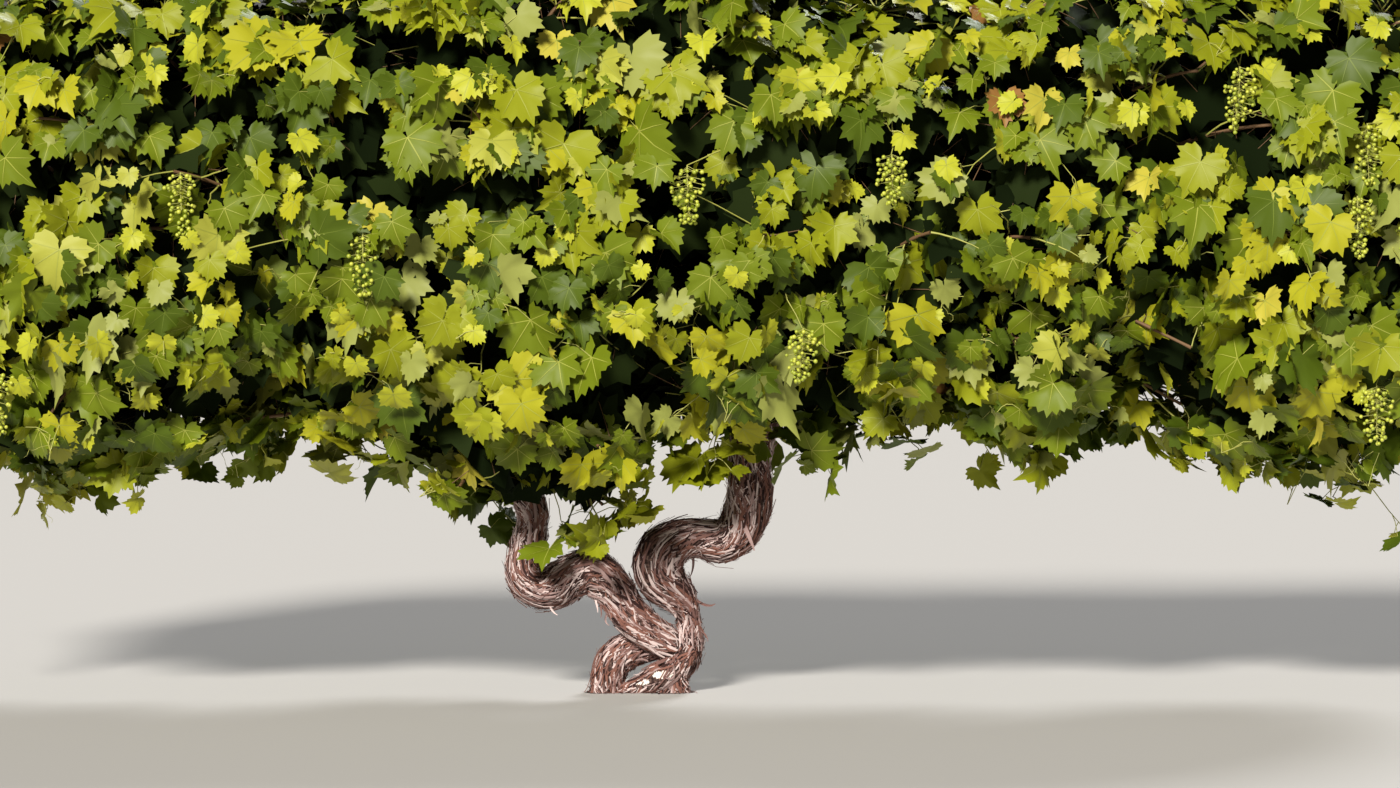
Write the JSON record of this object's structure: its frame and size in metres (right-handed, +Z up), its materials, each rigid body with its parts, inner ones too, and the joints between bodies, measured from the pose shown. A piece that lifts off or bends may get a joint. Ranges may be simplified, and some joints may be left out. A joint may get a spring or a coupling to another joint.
{
  "type": "grapevine",
  "caption": "Old grapevine in summer: short twisted trunk on spread feet, bent boughs and a wide, low, leafy crown with small green bunches.",
  "frame": {"origin": "middle of the flat cut under the trunk, at ground level", "axes": "+Z up, +X to the right along the row of the crown as seen from the front, front towards -Y"},
  "size_m": [3.9332, 1.2257, 1.7491],
  "materials": {
    "bark": "shaggy, dry, matt bark",
    "foliage": "soft satin summer leaves"
  },
  "bodies": {
    "root": {"trunk": "bark", "left_bough_lower": "bark", "left_bough_middle": "bark", "left_bough_upright": "bark", "right_bough_lower": "bark", "right_bough_middle": "bark", "right_bough_upright": "bark", "left_end_front_foliage": "foliage", "left_end_back_foliage": "foliage", "left_middle_front_foliage": "foliage", "left_middle_back_foliage": "foliage", "right_middle_front_foliage": "foliage", "right_middle_back_foliage": "foliage", "right_end_front_foliage": "foliage", "right_end_back_foliage": "foliage"}
  },
  "joints": []
}
